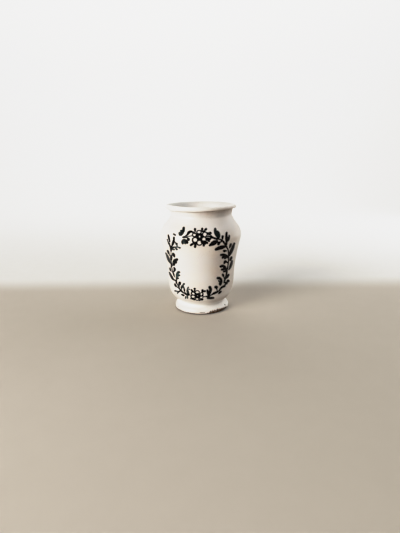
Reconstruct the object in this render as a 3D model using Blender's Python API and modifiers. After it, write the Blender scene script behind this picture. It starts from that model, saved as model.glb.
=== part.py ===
"""Small glazed earthenware jar: thrown body, luted foot, slip joint and glaze skin.

Metres, +Z up. The origin is on the axis, in the plane that the foot stands on.
All four pieces are turned shapes: a profile in the XZ plane and a Screw modifier.
"""
import math

import bpy

# ---------------------------------------------------------------- driving dimensions (mm)
MM = 0.001
SEGMENTS = 36            # steps round the axis
CHORD_OUT = 0.3          # how far a straight step of a profile may leave its curve, outside
CHORD_IN = 0.55          # and inside the jar

HEIGHT = 110.0           # foot to lip
LIP_R = 35.8             # widest point of the rolled lip
LIP_CREST_R = 34.4       # top of the lip
LIP_DROP = 4.1           # height of the lip's rolled edge
NECK_R, NECK_Z = 31.5, 99.6
BELLY_R, BELLY_Z = 41.3, 80.0
DRUM_R, DRUM_Z = 34.2, 32.0     # the nearly straight lower wall
WAIST_R, WAIST_Z = 24.2, 8.2    # where the foot is stuck on
FOOT_R, FOOT_Z = 28.6, 2.2      # widest point of the foot
RING_OUT_R = 27.2        # standing ring, outside
RING_IN_R = 20.6         # standing ring, inside
RECESS_H = 3.6           # hollow under the foot

GLAZE = 0.5              # thickness of the glaze
GAP = 0.3                # clearance between pieces that touch
WALL = 4.7               # clay and glaze together, at the belly
FLOOR_Z = 13.6           # inside floor, glazed
GLAZE_END_Z = 1.0        # the glaze stops here, above the bare standing ring

LUTE_T = 0.8             # thickness of the slip joint
LUTE_IN_R = 9.0
JOINT_Z = 8.2            # mid-height of the slip joint

# ---------------------------------------------------------------- profile helpers


def spline(knots, per_span):
    """Points on a smooth curve through the knots, given as (r, z)."""
    pts = []
    n = len(knots)
    for i in range(n - 1):
        p0 = knots[max(i - 1, 0)]
        p1, p2 = knots[i], knots[i + 1]
        p3 = knots[min(i + 2, n - 1)]
        for k in range(per_span):
            t = k / per_span
            q = []
            for a in (0, 1):
                m1 = 0.5 * (p2[a] - p0[a])
                m2 = 0.5 * (p3[a] - p1[a])
                h00 = 2 * t ** 3 - 3 * t ** 2 + 1
                h10 = t ** 3 - 2 * t ** 2 + t
                h01 = -2 * t ** 3 + 3 * t ** 2
                h11 = t ** 3 - t ** 2
                q.append(h00 * p1[a] + h10 * m1 + h01 * p2[a] + h11 * m2)
            pts.append(tuple(q))
    pts.append(tuple(knots[-1]))
    return pts


def thinned(points, tol):
    """The fewest of the points whose straight steps stay within tol of them all."""
    (r1, z1), (r2, z2) = points[0], points[-1]
    length = math.hypot(r2 - r1, z2 - z1)
    worst, at = 0.0, 0
    for i, (r, z) in enumerate(points[1:-1], 1):
        off = abs((r2 - r1) * (z1 - z) - (r1 - r) * (z2 - z1)) / length
        if off > worst:
            worst, at = off, i
    if worst <= tol:
        return [points[0], points[-1]]
    return thinned(points[: at + 1], tol)[:-1] + thinned(points[at:], tol)


def inset(points, depth):
    """The profile moved into the material, which is on its right, going down the outside."""
    out = []
    n = len(points)
    for i, (r, z) in enumerate(points):
        a = points[max(i - 1, 0)]
        b = points[min(i + 1, n - 1)]
        tr, tz = b[0] - a[0], b[1] - a[1]
        length = math.hypot(tr, tz)
        out.append((max(r + depth * tz / length, 0.0), z - depth * tr / length))
    return out


def below(points, z_top):
    return [p for p in points if p[1] < z_top]


def above(points, z_low):
    return [p for p in points if p[1] > z_low]


def at_height(points, z):
    """Radius of a falling profile at a height."""
    for (r1, z1), (r2, z2) in zip(points, points[1:]):
        if (z1 - z) * (z2 - z) <= 0 and z1 != z2:
            t = (z1 - z) / (z1 - z2)
            return r1 + t * (r2 - r1)
    raise ValueError("height %.2f is outside the profile" % z)


# ---------------------------------------------------------------- profiles of the glazed surface
# The outside, from the crest of the lip down to the glaze's end on the foot.
outside_knots = [
    (LIP_CREST_R, HEIGHT),
    (LIP_R, HEIGHT - 0.5 * LIP_DROP),
    (LIP_R - 1.2, HEIGHT - LIP_DROP),
    (NECK_R + 0.6, 103.4),
    (NECK_R, NECK_Z),
    (NECK_R + 3.2, 93.4),
    (BELLY_R - 2.4, 87.6),
    (BELLY_R, BELLY_Z),
    (BELLY_R - 1.9, 70.0),
    (36.8, 57.5),
    (34.9, 45.0),
    (DRUM_R, DRUM_Z),
    (DRUM_R - 1.6, 21.0),
    (28.9, 14.4),
    (WAIST_R + 1.4, 11.0),
    (WAIST_R, WAIST_Z),
    (WAIST_R + 2.4, 5.3),
    (FOOT_R, FOOT_Z),
    (RING_OUT_R + 0.8, GLAZE_END_Z),
]
# The inside, from the middle of the floor up to the crest of the lip.
inside_knots = [
    (0.0, FLOOR_Z),
    (15.0, FLOOR_Z + 0.3),
    (24.0, FLOOR_Z + 2.6),
    (DRUM_R - WALL - 0.2, 26.0),
    (34.4 - WALL, 40.0),
    (36.9 - WALL, 58.0),
    (BELLY_R - WALL, BELLY_Z - 0.6),
    (BELLY_R - WALL - 3.4, 88.4),
    (NECK_R - WALL + 0.4, 97.6),
    (LIP_CREST_R - 4.2, 105.6),
    (LIP_CREST_R - 1.4, HEIGHT - 1.0),
    (LIP_CREST_R, HEIGHT),
]
outside = thinned(spline(outside_knots, 6), CHORD_OUT)
inside = thinned(spline(inside_knots, 6), CHORD_IN)
skin = inside[:-1] + outside                    # floor, wall, lip, outside, foot

# ---------------------------------------------------------------- scene set-up
for obj in list(bpy.data.objects):
    bpy.data.objects.remove(obj, do_unlink=True)

jar = bpy.data.collections.new("ceramic_pot")
bpy.context.scene.collection.children.link(jar)


def material(name, colour, roughness, metallic=0.0):
    mat = bpy.data.materials.new(name)
    mat.use_nodes = True
    bsdf = mat.node_tree.nodes["Principled BSDF"]
    bsdf.inputs["Base Color"].default_value = (*colour, 1.0)
    bsdf.inputs["Roughness"].default_value = roughness
    bsdf.inputs["Metallic"].default_value = metallic
    mat.diffuse_color = (*colour, 1.0)
    return mat


def turned(name, profile, mat, closed=False):
    """One turned piece. The profile runs down its outer side; closed joins its ends into a ring."""
    mesh = bpy.data.meshes.new(name)
    verts = [(r * MM, 0.0, z * MM) for r, z in profile]
    edges = [(i, i + 1) for i in range(len(verts) - 1)]
    if closed:
        edges.append((len(verts) - 1, 0))
    mesh.from_pydata(verts, edges, [])
    obj = bpy.data.objects.new(name, mesh)
    jar.objects.link(obj)
    screw = obj.modifiers.new("turn", "SCREW")
    screw.axis = "Z"
    screw.angle = 2.0 * math.pi
    screw.steps = SEGMENTS
    screw.render_steps = SEGMENTS
    screw.use_merge_vertices = True
    screw.merge_threshold = 0.00002
    screw.use_smooth_shade = True
    mesh.materials.append(mat)
    return obj


biscuit = material("biscuit_clay", (0.62, 0.44, 0.29), 0.85)
foot_clay = material("foot_clay", (0.55, 0.37, 0.23), 0.85)
slip = material("joining_slip", (0.66, 0.50, 0.34), 0.9)
white_glaze = material("white_glaze", (0.86, 0.845, 0.80), 0.16)

# ---------------------------------------------------------------- glaze_coat
# One continuous skin: its outer face is the pot's surface, its back lies just off the clay.
skin_back = inset(skin, GLAZE)
skin_back[0] = (0.0, FLOOR_Z - GLAZE)
turned("glaze_coat", skin + skin_back[::-1], white_glaze)

# ---------------------------------------------------------------- jar_body
clay = inset(skin, GLAZE + GAP)
clay[0] = (0.0, FLOOR_Z - GLAZE - GAP)
n_in = len(inside) - 1
clay_in, clay_out = clay[:n_in], clay[n_in:]
body_bottom = JOINT_Z + 0.5 * LUTE_T + GAP
body_out = above(clay_out, body_bottom + 0.4)
body_r = at_height(clay_out, body_bottom)
turned(
    "jar_body",
    clay_in + body_out + [(body_r, body_bottom), (0.0, body_bottom)],
    biscuit,
)

# ---------------------------------------------------------------- lute_ring
lute_r = WAIST_R - GLAZE - 2.0 * GAP
turned(
    "lute_ring",
    [
        (LUTE_IN_R, JOINT_Z + 0.5 * LUTE_T),
        (lute_r, JOINT_Z + 0.5 * LUTE_T),
        (lute_r + 0.15, JOINT_Z),
        (lute_r, JOINT_Z - 0.5 * LUTE_T),
        (LUTE_IN_R, JOINT_Z - 0.5 * LUTE_T),
    ],
    slip,
    closed=True,
)

# ---------------------------------------------------------------- foot
foot_top = JOINT_Z - 0.5 * LUTE_T - GAP
foot_out = below(clay_out, foot_top - 0.4)
foot_r = at_height(clay_out[len(clay_out) // 2:], foot_top)
turned(
    "foot",
    [(0.0, foot_top), (foot_r, foot_top)]
    + foot_out
    + [
        (RING_OUT_R, 0.25),
        (RING_OUT_R - 0.5, 0.0),
        (RING_IN_R, 0.0),
        (RING_IN_R - 0.7, 0.5),
        (RING_IN_R - 2.0, RECESS_H - 0.8),
        (RING_IN_R - 5.0, RECESS_H),
        (0.0, RECESS_H + 0.2),
    ],
    foot_clay,
)

for obj in jar.objects:
    obj.data.set_sharp_from_angle(angle=math.radians(45.0))
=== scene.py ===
"""Looks of the glazed jar: hand-thrown glaze with a chipped foot, bare clay below, and the printed wreath."""
import math

import bpy
import numpy as np
from mathutils import Matrix, Vector, geometry, noise


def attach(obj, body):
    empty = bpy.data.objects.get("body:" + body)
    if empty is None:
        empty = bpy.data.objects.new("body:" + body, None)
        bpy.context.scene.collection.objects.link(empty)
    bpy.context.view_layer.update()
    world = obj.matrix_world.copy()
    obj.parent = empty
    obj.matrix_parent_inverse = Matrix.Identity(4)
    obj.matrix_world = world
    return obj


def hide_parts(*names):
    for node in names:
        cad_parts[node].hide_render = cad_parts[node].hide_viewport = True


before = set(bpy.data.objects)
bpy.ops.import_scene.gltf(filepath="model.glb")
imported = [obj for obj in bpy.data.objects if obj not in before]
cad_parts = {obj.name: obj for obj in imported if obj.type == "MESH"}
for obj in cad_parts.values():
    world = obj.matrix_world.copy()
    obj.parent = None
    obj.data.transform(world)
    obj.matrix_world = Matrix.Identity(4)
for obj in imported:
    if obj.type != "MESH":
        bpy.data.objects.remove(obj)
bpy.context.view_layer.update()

MM = 0.001

# =====================================================================================
# The turned surface. Lengths in this file are millimetres until a mesh is made.
# phi is the angle from the front (-Y) towards the right (+X); s runs along the profile.
# =====================================================================================
HEIGHT, CREST_Z = 110.0, 109.5
LIP_R, LIP_CREST_R, LIP_DROP = 35.8, 34.6, 4.1
NECK_R, NECK_Z = 31.5, 99.6
BELLY_R, BELLY_Z = 41.3, 80.0
DRUM_R, DRUM_Z = 34.2, 32.0
WAIST_R, WAIST_Z = 24.2, 8.2
FOOT_R, FOOT_Z = 28.6, 2.2
RING_OUT_R, RING_IN_R, RECESS_H = 27.2, 20.6, 3.6
GLAZE = 0.5
WALL = 4.7
FLOOR_Z = 13.6
GLAZE_END_Z = 0.35

OUTSIDE = [
    (LIP_CREST_R, CREST_Z),
    (LIP_R - 0.45, CREST_Z - 0.45),
    (LIP_R - 0.08, CREST_Z - 1.3),
    (LIP_R, HEIGHT - 0.73 * LIP_DROP),
    (LIP_R - 0.25, HEIGHT - 0.94 * LIP_DROP),
    (LIP_R - 0.9, HEIGHT - 1.04 * LIP_DROP),
    (LIP_R - 2.1, HEIGHT - 1.10 * LIP_DROP),
    (NECK_R + 1.2, HEIGHT - 1.22 * LIP_DROP),
    (NECK_R + 0.65, HEIGHT - 1.48 * LIP_DROP),
    (NECK_R + 0.25, 102.0),
    (NECK_R, NECK_Z),
    (NECK_R + 3.2, 93.4),
    (BELLY_R - 2.4, 87.6),
    (BELLY_R, BELLY_Z),
    (BELLY_R - 1.9, 70.0),
    (36.8, 57.5),
    (34.9, 45.0),
    (DRUM_R, DRUM_Z),
    (DRUM_R - 1.6, 21.0),
    (28.9, 14.4),
    (WAIST_R + 1.4, 11.2),
    (WAIST_R, WAIST_Z + 0.4),
    (WAIST_R + 2.2, 6.5),
    (FOOT_R - 0.7, 4.8),
    (FOOT_R, 3.1),
    (FOOT_R - 0.05, 1.7),
    (FOOT_R - 0.55, GLAZE_END_Z),
]
INSIDE = [
    (0.0, FLOOR_Z),
    (15.0, FLOOR_Z + 0.3),
    (24.0, FLOOR_Z + 2.6),
    (DRUM_R - WALL - 0.2, 26.0),
    (34.4 - WALL, 40.0),
    (36.9 - WALL, 58.0),
    (BELLY_R - WALL, BELLY_Z - 0.6),
    (BELLY_R - WALL - 3.4, 88.4),
    (NECK_R - WALL + 0.4, 97.6),
    (LIP_CREST_R - 4.2, 105.6),
    (LIP_CREST_R - 1.5, CREST_Z - 0.95),
    (LIP_CREST_R, CREST_Z),
]


def spline(knots, per_span):
    """A smooth curve through the knots, stepped by chord length so that uneven knots don't ripple."""
    k = np.array(knots, float)
    t = np.concatenate([[0], np.cumsum(np.sqrt(np.hypot(*np.diff(k, axis=0).T)))])
    out = []
    n = len(k)
    for i in range(n - 1):
        p1, p2 = k[i], k[i + 1]
        dt = t[i + 1] - t[i]
        m1 = (p2 - p1) / dt if i == 0 else (p2 - k[i - 1]) / (t[i + 1] - t[i - 1])
        m2 = (p2 - p1) / dt if i == n - 2 else (k[i + 2] - p1) / (t[i + 2] - t[i])
        for u in np.arange(per_span) / per_span:
            out.append((2 * u**3 - 3 * u**2 + 1) * p1 + (u**3 - 2 * u**2 + u) * dt * m1
                       + (-2 * u**3 + 3 * u**2) * p2 + (u**3 - u**2) * dt * m2)
    out.append(k[-1])
    return np.array(out)


_in = spline(INSIDE, 24)
_out = spline(OUTSIDE, 24)
SKIN = np.vstack([_in[:-1], _out])                     # floor, wall, lip, outside, foot
SKIN_S = np.concatenate([[0], np.cumsum(np.hypot(*np.diff(SKIN, axis=0).T))])
S_CREST = SKIN_S[len(_in) - 1]
S_END = SKIN_S[-1]
_t = np.gradient(SKIN, SKIN_S, axis=0)
_k = np.ones(9) / 9.0
_t = np.stack([np.convolve(np.pad(_t[:, a], 4, mode="edge"), _k, mode="valid") for a in (0, 1)], 1)
_t /= np.linalg.norm(_t, axis=1)[:, None]
SKIN_N = np.stack([-_t[:, 1], _t[:, 0]], 1)             # out of the material
SKIN_N[0] = (0.0, 1.0)


def at_s(s):
    """(r, z, nr, nz) on the profile at length s."""
    return (np.interp(s, SKIN_S, SKIN[:, 0]), np.interp(s, SKIN_S, SKIN[:, 1]),
            np.interp(s, SKIN_S, SKIN_N[:, 0]), np.interp(s, SKIN_S, SKIN_N[:, 1]))


def s_at_z(z):
    """Length along the profile of a height on the outside."""
    i0 = len(_in) - 1
    zs, ss = SKIN[i0:, 1], SKIN_S[i0:]
    return np.interp(-np.asarray(z, float), -zs, ss)


def smooth(x, lo, hi):
    t = np.clip((np.asarray(x, float) - lo) / (hi - lo), 0.0, 1.0)
    return t * t * (3 - 2 * t)


def lean(phi, z):
    """The belly stands out further on the left, as a pot lifted off the wheel while wet does."""
    return 0.62 * (1 - np.sin(phi)) * smooth(z, 8, 17) * (1 - smooth(z, 76, 97))


def wobble(phi, s):
    """How far the thrown surface leaves a true turned one: slow out-of-round, throwing rings and a lumpy coat."""
    phi, s = np.broadcast_arrays(np.asarray(phi, float), np.asarray(s, float))
    r, z, _, _ = at_s(s)
    outer = smooth(s, S_CREST - 12, S_CREST + 6)
    up = z / HEIGHT
    w = 0.16 * np.cos(2 * phi + 0.7 + 0.8 * up) * (0.35 + 0.65 * up)
    w += 0.09 * np.cos(3 * phi - 1.3 - 2.2 * up)
    w += 0.05 * np.cos(5 * phi + 2.1 + 3.1 * up)
    # throwing rings: a slow spiral that comes and goes up the wall
    wall = smooth(z, 14, 20) * (1 - smooth(z, 97, 102))
    ring = (0.040 * np.sin(2 * math.pi * z / 5.3 + phi + 0.4)
            + 0.030 * np.sin(2 * math.pi * z / 3.4 + 2 * phi + 1.9)
            + 0.022 * np.sin(2 * math.pi * z / 8.9 - phi + 2.6))
    fade = 0.55 + 0.45 * np.sin(z * 0.19 + 1.2 + 0.6 * np.cos(phi - 0.5))
    w += ring * fade * wall * (0.6 + 0.4 * outer)
    # two rings the finger left deeper
    for z0, depth, wide in ((46.6, 0.13, 0.45), (62.6, 0.07, 0.5), (71.8, 0.05, 0.7)):
        w -= depth * np.exp(-(((z - z0 - 0.35 * np.sin(phi)) / wide) ** 2)) * outer
    return (w + lean(phi, z) * np.where(s > S_CREST, 1.0, 0.8)) * smooth(r, 0.0, 14.0)


def tip(phi, z):
    """The rim isn't quite level: the lip is tallest at the front left."""
    return (0.40 + 0.40 * np.cos(phi + 0.87) + 0.12 * np.cos(2 * phi + 1.05)) * smooth(z, 104.6, 108.8)


def tuck(phi, z):
    """The roll of the lip is thinner on the right: its lower edge rises there."""
    deg = np.degrees((phi + math.pi) % (2 * math.pi) - math.pi)
    return 0.90 * smooth(deg, -14, 30) * (1 - smooth(deg, 75, 150)) * smooth(z, 102.4, 105.4) * (1 - smooth(z, 106.2, 109.0))


def surface(phi, s, lift=0.0):
    """Points (x, y, z) on the glaze, lift millimetres out of it."""
    phi, s = np.broadcast_arrays(np.asarray(phi, float), np.asarray(s, float))
    r, z, nr, nz = at_s(s)
    d = wobble(phi, s) + lift
    rr, zz = r + d * nr, z + d * nz + tip(phi, z) + tuck(phi, z) * (s > S_CREST)
    return np.stack([rr * np.sin(phi), -rr * np.cos(phi), zz], -1)


# =====================================================================================
# Camera: the photograph's viewpoint, worked out from the outline
# =====================================================================================
IMG_W, IMG_H = 400, 533
F_PX = 390.6
CAM_AT = np.array([-1.77, -402.05, 150.0])
PITCH, ROLL = math.radians(14.785), math.radians(-0.578)

cam_data = bpy.data.cameras.new("camera")
cam = bpy.data.objects.new("camera", cam_data)
bpy.context.scene.collection.objects.link(cam)
cam_data.sensor_fit = "AUTO"
cam_data.sensor_width = 36.0
cam_data.lens = F_PX * 36.0 / IMG_H
cam_data.clip_start, cam_data.clip_end = 0.01, 50.0
cam.matrix_world = (Matrix.Translation(Vector(CAM_AT * MM))
                    @ Matrix.Rotation(math.pi / 2 - PITCH, 4, "X")
                    @ Matrix.Rotation(ROLL, 4, "Z"))
bpy.context.scene.camera = cam


def mesh_object(name, verts, faces, mat, smooth_angle=40.0):
    me = bpy.data.meshes.new(name)
    me.from_pydata((np.asarray(verts) * MM).tolist(), [], [list(f) for f in faces])
    me.validate()
    me.shade_smooth()
    me.set_sharp_from_angle(angle=math.radians(smooth_angle))
    me.materials.append(mat)
    ob = bpy.data.objects.new(name, me)
    bpy.context.scene.collection.objects.link(ob)
    return ob


def point_attribute(ob, name, values):
    a = ob.data.attributes.new(name, "FLOAT", "POINT")
    a.data.foreach_set("value", np.asarray(values, np.float32).ravel())


# =====================================================================================
# Materials
# =====================================================================================
class Nodes:
    """Small helper to write node trees."""

    def __init__(self, name):
        self.mat = bpy.data.materials.new(name)
        self.mat.use_nodes = True
        self.t = self.mat.node_tree
        self.bsdf = self.t.nodes["Principled BSDF"]

    def new(self, kind, **props):
        n = self.t.nodes.new(kind)
        for k, v in props.items():
            setattr(n, k, v)
        return n

    def put(self, node, **sockets):
        for k, v in sockets.items():
            sock = node.inputs[int(k[1:])] if k[0] == "i" and k[1:].isdigit() else node.inputs[k.replace("_", " ")]
            if hasattr(v, "is_output"):
                self.t.links.new(v, sock)
            else:
                sock.default_value = v
        return node

    def coords(self, scale=1000.0):
        """Object coordinates in millimetres."""
        tc = self.new("ShaderNodeTexCoord")
        m = self.new("ShaderNodeMapping")
        m.inputs["Scale"].default_value = (scale, scale, scale)
        self.t.links.new(tc.outputs["Object"], m.inputs["Vector"])
        return m.outputs["Vector"]

    def noise(self, vec, scale, detail=3.0, rough=0.55, dist=0.0):
        n = self.new("ShaderNodeTexNoise")
        self.put(n, Vector=vec, Scale=scale, Detail=detail, Roughness=rough, Distortion=dist)
        return n.outputs["Fac"]

    def ramp(self, fac, stops, interp="LINEAR"):
        n = self.new("ShaderNodeValToRGB")
        n.color_ramp.interpolation = interp
        e = n.color_ramp.elements
        while len(e) < len(stops):
            e.new(0.5)
        for el, (p, c) in zip(e, stops):
            el.position = p
            el.color = (*c, 1.0) if len(c) == 3 else c
        self.t.links.new(fac, n.inputs["Fac"])
        return n.outputs["Color"]

    def remap(self, fac, lo, hi, a=0.0, b=1.0, mode="SMOOTHSTEP"):
        n = self.new("ShaderNodeMapRange", interpolation_type=mode)
        self.put(n, Value=fac)
        n.inputs["From Min"].default_value, n.inputs["From Max"].default_value = lo, hi
        n.inputs["To Min"].default_value, n.inputs["To Max"].default_value = a, b
        return n.outputs["Result"]

    def math(self, op, a, b=None):
        n = self.new("ShaderNodeMath", operation=op)
        for i, v in enumerate((a, b)):
            if v is None:
                continue
            if hasattr(v, "is_output"):
                self.t.links.new(v, n.inputs[i])
            else:
                n.inputs[i].default_value = v
        return n.outputs[0]

    def mix(self, fac, a, b, blend="MIX"):
        n = self.new("ShaderNodeMix", data_type="RGBA", blend_type=blend)
        n.clamp_factor = True
        for sock, v in ((n.inputs[0], fac), (n.inputs[6], a), (n.inputs[7], b)):
            if hasattr(v, "is_output"):
                self.t.links.new(v, sock)
            elif isinstance(v, (int, float)):
                sock.default_value = v
            else:
                sock.default_value = (*v, 1.0)
        return n.outputs[2]

    def attr(self, name):
        n = self.new("ShaderNodeAttribute", attribute_name=name)
        return n.outputs["Fac"]

    def bump(self, height, strength, dist=0.0001, normal=None):
        n = self.new("ShaderNodeBump")
        n.inputs["Strength"].default_value = strength
        n.inputs["Distance"].default_value = dist
        self.t.links.new(height, n.inputs["Height"])
        if normal is not None:
            self.t.links.new(normal, n.inputs["Normal"])
        return n.outputs["Normal"]


def glaze_material():
    m = Nodes("white_glaze")
    v = m.coords()
    warm, cool = (0.836, 0.772, 0.714), (0.807, 0.778, 0.757)
    big = m.noise(v, 0.035, 3.0, 0.5)
    col = m.mix(m.remap(big, 0.38, 0.64), warm, cool)
    mott = m.noise(v, 0.22, 4.0, 0.6)
    col = m.mix(m.remap(mott, 0.35, 0.75, 0.0, 0.35), col, (0.836, 0.802, 0.762))
    # paler glaze: the thicker, whiter coat of the foot, and painted light on the foot's right side, the lip, high
    # inside the mouth and the waist at the left
    col = m.mix(m.math("MULTIPLY", m.attr("pale"), 0.95), col, (0.930, 0.913, 0.882))
    # thin coat on edges, where the clay warms it
    col = m.mix(m.math("MULTIPLY", m.attr("thin"), 0.75), col, (0.74, 0.60, 0.49))
    # pooled coat, a little cool, at the waist, the neck and the foot; the same grey also paints shade down the right
    # edge, inside the mouth at its sides, on the foot at the left and under the lip at the left
    col = m.mix(m.math("MULTIPLY", m.attr("pool_and_shade"), 0.55), col, (0.735, 0.765, 0.770))
    # hairline crazing
    vor = m.new("ShaderNodeTexVoronoi", feature="DISTANCE_TO_EDGE")
    warp = m.new("ShaderNodeVectorMath", operation="ADD")
    wn = m.new("ShaderNodeTexNoise")
    m.put(wn, Vector=v, Scale=0.18, Detail=2.0)
    ws = m.new("ShaderNodeVectorMath", operation="SCALE")
    ws.inputs["Scale"].default_value = 4.0
    m.t.links.new(wn.outputs["Color"], ws.inputs[0])
    m.t.links.new(v, warp.inputs[0])
    m.t.links.new(ws.outputs[0], warp.inputs[1])
    m.put(vor, Vector=warp.outputs[0], Scale=0.16, Randomness=1.0)
    line = m.remap(vor.outputs["Distance"], 0.0, 0.016, 1.0, 0.0)
    where = m.remap(m.noise(v, 0.05, 2.0), 0.45, 0.62)
    craze = m.math("MULTIPLY", line, where)
    col = m.mix(m.math("MULTIPLY", craze, 0.20), col, (0.42, 0.33, 0.25))
    # painted shade, warm brown like grime: the crease under the lip, the neck below it on the right, the waist on the
    # right and the right side of the body
    dirt_and_shade = m.math("MULTIPLY", m.attr("grime_and_shade"), m.remap(m.noise(v, 0.30, 4.0, 0.6), 0.25, 0.7, 0.72, 1.12, "LINEAR"))
    col = m.mix(dirt_and_shade, col, (0.345, 0.242, 0.172))
    # iron specks
    sp = m.new("ShaderNodeTexVoronoi", feature="F1")
    m.put(sp, Vector=v, Scale=0.26, Randomness=1.0)
    dot = m.remap(sp.outputs["Distance"], 0.035, 0.075, 1.0, 0.0)
    some = m.remap(m.noise(v, 0.33, 1.0), 0.60, 0.66)
    speck = m.math("MULTIPLY", dot, some)
    col = m.mix(m.math("MULTIPLY", speck, 0.75), col, (0.20, 0.13, 0.085))
    # inside: a faint stain low down
    col = m.mix(m.math("MULTIPLY", m.attr("stain"), 0.45), col, (0.60, 0.52, 0.42))
    # pits where the coat is broken
    clay = m.ramp(m.noise(v, 1.6, 4.0), [(0.3, (0.022, 0.012, 0.008)), (0.7, (0.10, 0.058, 0.034))])
    col = m.mix(m.attr("bare"), col, clay)
    m.t.links.new(col, m.bsdf.inputs["Base Color"])
    rough = m.remap(m.noise(v, 0.12, 3.0), 0.3, 0.7, 0.33, 0.45, "LINEAR")
    rough = m.math("MAXIMUM", rough, m.math("MULTIPLY", m.attr("bare"), 0.9))
    m.t.links.new(rough, m.bsdf.inputs["Roughness"])
    h = m.math("ADD", m.math("MULTIPLY", m.noise(v, 0.75, 3.0, 0.5), 0.6),
               m.math("MULTIPLY", m.noise(v, 0.16, 2.0, 0.5), 1.3))
    pin = m.new("ShaderNodeTexVoronoi", feature="F1")
    m.put(pin, Vector=v, Scale=0.42, Randomness=1.0)
    hole = m.remap(pin.outputs["Distance"], 0.03, 0.09, 1.0, 0.0)
    few = m.remap(m.noise(v, 0.5, 1.0), 0.60, 0.66)
    h = m.math("SUBTRACT", h, m.math("MULTIPLY", m.math("MULTIPLY", hole, few), 1.2))
    h = m.math("SUBTRACT", h, m.math("MULTIPLY", craze, 0.15))
    m.t.links.new(m.bump(h, 0.35, 0.00007), m.bsdf.inputs["Normal"])
    m.bsdf.inputs["IOR"].default_value = 1.5
    return m.mat


def ink_material():
    m = Nodes("printed_ink")
    v = m.coords()
    n = m.noise(v, 0.9, 4.0, 0.6)
    black = m.mix(m.remap(n, 0.35, 0.70), (0.0020, 0.0022, 0.0025), (0.0060, 0.0063, 0.0068))
    green = m.mix(m.remap(m.noise(v, 1.7, 3.0), 0.35, 0.65), (0.014, 0.034, 0.034), (0.075, 0.115, 0.112))
    col = m.mix(m.attr("teal"), black, green)
    worn = m.mix(m.remap(m.noise(v, 2.2, 3.0), 0.35, 0.65), (0.09, 0.09, 0.092), (0.24, 0.24, 0.235))
    col = m.mix(m.attr("thin"), col, worn)
    m.t.links.new(col, m.bsdf.inputs["Base Color"])
    r = m.remap(m.noise(v, 0.6, 2.0), 0.3, 0.7, 0.26, 0.40, "LINEAR")
    m.t.links.new(r, m.bsdf.inputs["Roughness"])
    m.t.links.new(m.bump(m.noise(v, 1.4, 3.0), 0.25, 0.00005), m.bsdf.inputs["Normal"])
    m.bsdf.inputs["IOR"].default_value = 1.45
    m.bsdf.inputs["Specular IOR Level"].default_value = 0.12
    return m.mat


def clay_material(name, light, dark, dirt_and_shade=True):
    m = Nodes(name)
    v = m.coords()
    col = m.ramp(m.noise(v, 0.28, 5.0, 0.62), [(0.28, dark), (0.72, light)])
    grog = m.new("ShaderNodeTexVoronoi", feature="F1")
    m.put(grog, Vector=v, Scale=1.1, Randomness=1.0)
    g = m.remap(grog.outputs["Distance"], 0.10, 0.24, 1.0, 0.0)
    some = m.remap(m.noise(v, 0.9, 1.0), 0.52, 0.60)
    col = m.mix(m.math("MULTIPLY", m.math("MULTIPLY", g, some), 0.5), col, tuple(c * 0.45 for c in dark))
    if dirt_and_shade:
        # dark dirt on the clay, also used as painted contact shadow along the foot's standing edge
        grime_and_shade = m.ramp(m.noise(v, 0.75, 4.0, 0.6), [(0.30, (0.022, 0.011, 0.006)), (0.70, (0.120, 0.062, 0.034))])
        col = m.mix(m.attr("dirt_and_shade"), col, grime_and_shade)
    m.t.links.new(col, m.bsdf.inputs["Base Color"])
    r = m.remap(m.noise(v, 0.5, 2.0), 0.3, 0.7, 0.78, 0.95, "LINEAR")
    m.t.links.new(r, m.bsdf.inputs["Roughness"])
    h = m.math("ADD", m.noise(v, 1.9, 5.0, 0.65), m.math("MULTIPLY", m.noise(v, 0.35, 3.0), 1.4))
    m.t.links.new(m.bump(h, 0.6, 0.00018), m.bsdf.inputs["Normal"])
    m.bsdf.inputs["IOR"].default_value = 1.45
    return m.mat


MAT_GLAZE = glaze_material()
MAT_BISCUIT = clay_material("biscuit_clay", (0.62, 0.46, 0.33), (0.47, 0.32, 0.21), dirt_and_shade=False)
MAT_FOOT = clay_material("foot_clay", (0.60, 0.45, 0.33), (0.42, 0.28, 0.185))
MAT_INK = ink_material()
MAT_SLIP = clay_material("joining_slip", (0.66, 0.52, 0.38), (0.55, 0.41, 0.28), dirt_and_shade=False)

# =====================================================================================
# Turned pieces
# =====================================================================================
# Columns round the axis: close together where the foot is chipped, at the front right.
CHIP_FROM, CHIP_TO = math.radians(4.0), math.radians(76.0)
_chip = np.linspace(CHIP_FROM, CHIP_TO, 133)
_rest = np.linspace(CHIP_TO, CHIP_FROM + 2 * math.pi, 151)[1:-1]
PHI = np.concatenate([_chip, _rest])
NCOL = len(PHI)


def lumps(phi, k, seed):
    """Noise round a circle, about -1 to 1; k sets how many lumps there are."""
    return np.array([noise.noise(Vector((k * math.sin(p) + seed, k * math.cos(p) - 2.3 * seed, 0.37 * seed)))
                     for p in np.atleast_1d(phi)]) * 1.6


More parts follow.
